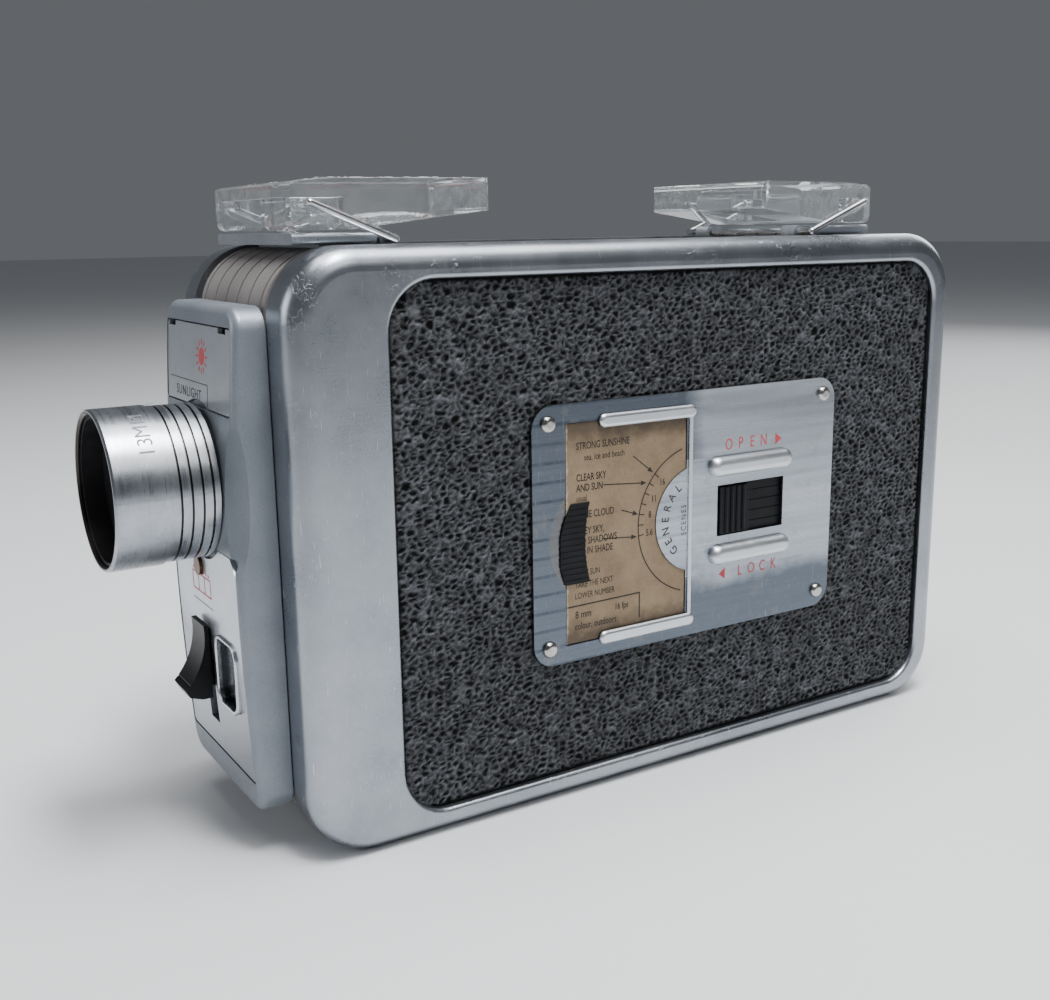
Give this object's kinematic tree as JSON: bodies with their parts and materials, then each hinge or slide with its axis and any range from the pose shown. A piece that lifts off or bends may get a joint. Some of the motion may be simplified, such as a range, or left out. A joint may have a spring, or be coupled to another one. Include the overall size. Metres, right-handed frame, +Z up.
{
  "type": "cine camera",
  "caption": "Spring-wound 8 mm box cine camera with leather-panelled metal cases, slip-on lens barrel, folding clear finders, lift-off film door and clockwork film drive.",
  "frame": {"origin": "mouth of the tripod socket, on the plane of the flat underside, midway across and along the body", "axes": "+Z up, -Y out of the lens, +X out of the film door (the side with the info plate)"},
  "size_m": [0.0644, 0.1848, 0.1196],
  "materials": {
    "satin_aluminium": "fine brushed and lacquered, polished on the rounded edges, light scratches",
    "leatherette": "near-black brown pebble-grain leatherette",
    "band_paint": "taupe satin enamel",
    "housing_paint": "light grey speckled satin enamel",
    "plate_aluminium": "smooth printed aluminium sheet",
    "turned_aluminium": "bright turned aluminium",
    "black_paint": "flat black anti-reflection paint",
    "optical_glass": "polished glass",
    "clear_plastic": "clear moulded acrylic",
    "black_plastic": "ribbed black moulded plastic",
    "aged_card": "tan aged printed card",
    "nickel": "nickel plate",
    "spring_steel": "drawn bright wire and sheet steel",
    "gear_brass": "cut brass",
    "plated_sheet": "zinc-plated sheet steel",
    "bronzed_steel": "browned screw head"
  },
  "bodies": {
    "camera_body": {"body_band": "band_paint", "winding_side_case": "satin_aluminium", "winding_side_leather": "leatherette", "side_case_screws": "nickel", "front_housing": "housing_paint", "upper_front_plate": "plate_aluminium", "lower_front_plate": "plate_aluminium", "thumb_bezel": "nickel", "front_plate_screw": "bronzed_steel", "lens_barrel": "turned_aluminium", "lens_liner": "black_paint", "front_element": "optical_glass", "rear_element": "optical_glass", "lens_spacer": "black_paint", "lens_retaining_ring": "black_paint", "tripod_bush": "gear_brass", "front_finder_base": "housing_paint", "front_finder_spring": "spring_steel", "rear_finder_base": "housing_paint", "rear_finder_spring": "spring_steel", "mechanism_deck": "plated_sheet", "motor_bridge": "plated_sheet", "bridge_posts": "plated_sheet", "key_escutcheon": "nickel", "film_gate": "plated_sheet", "shutter_guide": "plated_sheet", "supply_spindle": "spring_steel", "counter_window": "optical_glass", "catch_post": "spring_steel"},
    "film_door": {"film_cover": "satin_aluminium", "cover_leather": "leatherette", "info_plate": "plate_aluminium", "plate_rivets": "nickel", "guide_card": "aged_card", "card_grip": "black_plastic"},
    "door_latch": {"latch_slide": "black_plastic", "latch_bolt": "plated_sheet"},
    "front_sight": {"front_finder": "clear_plastic"},
    "rear_sight": {"rear_finder": "clear_plastic"},
    "release": {"release_lever": "black_plastic"},
    "aperture": {"aperture_ring": "turned_aluminium"},
    "winding_key": {"winding_arbor": "spring_steel", "key_hub": "nickel"},
    "key_handle": {"key_bail": "nickel"},
    "motor_barrel": {"spring_barrel": "plated_sheet", "mainspring": "spring_steel"},
    "first_gears": {"first_arbor": "gear_brass"},
    "second_gears": {"second_arbor": "gear_brass"},
    "crank": {"crankshaft": "gear_brass"},
    "regulator": {"governor": "gear_brass"},
    "stop": {"stop_lever": "plated_sheet"},
    "supply": {"supply_spool": "black_paint"},
    "take_up": {"take_up_spool": "black_paint", "take_up_spindle": "spring_steel"},
    "gate_pressure": {"pressure_plate": "plated_sheet"},
    "claw": {"shutter_claw": "plated_sheet"},
    "footage": {"feeler_arm": "plated_sheet", "footage_arbor": "spring_steel", "footage_dial": "plate_aluminium"}
  },
  "joints": [
    {"name": "door_lift", "type": "slide", "parent": "camera_body", "child": "film_door", "axis": [1, 0, 0], "range_m": [0, 0.06]},
    {"name": "latch_slide", "type": "slide", "parent": "film_door", "child": "door_latch", "axis": [0, 1, 0], "range_m": [0, 0.009]},
    {"name": "front_sight_fold", "type": "hinge", "parent": "camera_body", "child": "front_sight", "pos_m": [0, -0.071, 0.1153], "axis": [1, 0, 0], "range_deg": [0, 90]},
    {"name": "rear_sight_fold", "type": "hinge", "parent": "camera_body", "child": "rear_sight", "pos_m": [0, 0.059, 0.1153], "axis": [-1, 0, 0], "range_deg": [0, 90]},
    {"name": "release_press", "type": "slide", "parent": "camera_body", "child": "release", "axis": [0, 0, -1], "range_m": [0, 0.005], "stiffness_N_per_m": 250, "springref_m": -0.002},
    {"name": "aperture_turn", "type": "hinge", "parent": "camera_body", "child": "aperture", "pos_m": [0, -0.09, 0.0669], "axis": [0, 1, 0], "range_deg": [-40, 35]},
    {"name": "key_wind", "type": "hinge", "parent": "camera_body", "child": "winding_key", "pos_m": [-0.01, 0.004, 0.054], "axis": [1, 0, 0], "continuous": true},
    {"name": "key_fold", "type": "hinge", "parent": "winding_key", "child": "key_handle", "pos_m": [-0.0319, 0.004, 0.054], "axis": [0, 0, 1], "range_deg": [0, 90]},
    {"name": "barrel_turn", "type": "hinge", "parent": "camera_body", "child": "motor_barrel", "pos_m": [-0.01, 0.004, 0.054], "axis": [1, 0, 0], "continuous": true},
    {"name": "first_turn", "type": "hinge", "parent": "camera_body", "child": "first_gears", "pos_m": [-0.01, -0.02958, 0.05165], "axis": [1, 0, 0], "continuous": true},
    {"name": "second_turn", "type": "hinge", "parent": "camera_body", "child": "second_gears", "pos_m": [-0.01, -0.05009, 0.04469], "axis": [1, 0, 0], "continuous": true},
    {"name": "crank_turn", "type": "hinge", "parent": "camera_body", "child": "crank", "pos_m": [-0.01, -0.068, 0.047], "axis": [1, 0, 0], "continuous": true},
    {"name": "governor_turn", "type": "hinge", "parent": "camera_body", "child": "regulator", "pos_m": [-0.01, -0.05166, 0.06268], "axis": [1, 0, 0], "continuous": true},
    {"name": "stop_swing", "type": "hinge", "parent": "camera_body", "child": "stop", "pos_m": [-0.01, -0.07, 0.031], "axis": [1, 0, 0], "range_deg": [0, 20.1]},
    {"name": "supply_turn", "type": "hinge", "parent": "camera_body", "child": "supply", "pos_m": [-0.01, 0.032, 0.076], "axis": [1, 0, 0], "continuous": true},
    {"name": "take_up_turn", "type": "hinge", "parent": "camera_body", "child": "take_up", "pos_m": [-0.01, -0.02, 0.036], "axis": [1, 0, 0], "continuous": true},
    {"name": "pressure_slide", "type": "slide", "parent": "camera_body", "child": "gate_pressure", "axis": [0, 1, 0], "range_m": [0, 0.002], "stiffness_N_per_m": 200, "springref_m": -0.002},
    {"name": "claw_stroke", "type": "slide", "parent": "camera_body", "child": "claw", "axis": [0, 0, 1], "range_m": [-0.0038, 0]},
    {"name": "footage_swing", "type": "hinge", "parent": "camera_body", "child": "footage", "pos_m": [-0.01, 0.062, 0.05], "axis": [1, 0, 0], "range_deg": [0, 34]}
  ],
  "couplings": [
    {"joint": "first_turn", "follows": "barrel_turn", "ratio": -7},
    {"joint": "second_turn", "follows": "barrel_turn", "ratio": 35},
    {"joint": "crank_turn", "follows": "barrel_turn", "ratio": -175},
    {"joint": "governor_turn", "follows": "barrel_turn", "ratio": -175},
    {"joint": "stop_swing", "follows": "release_press", "rad_per_m": 70}
  ]
}
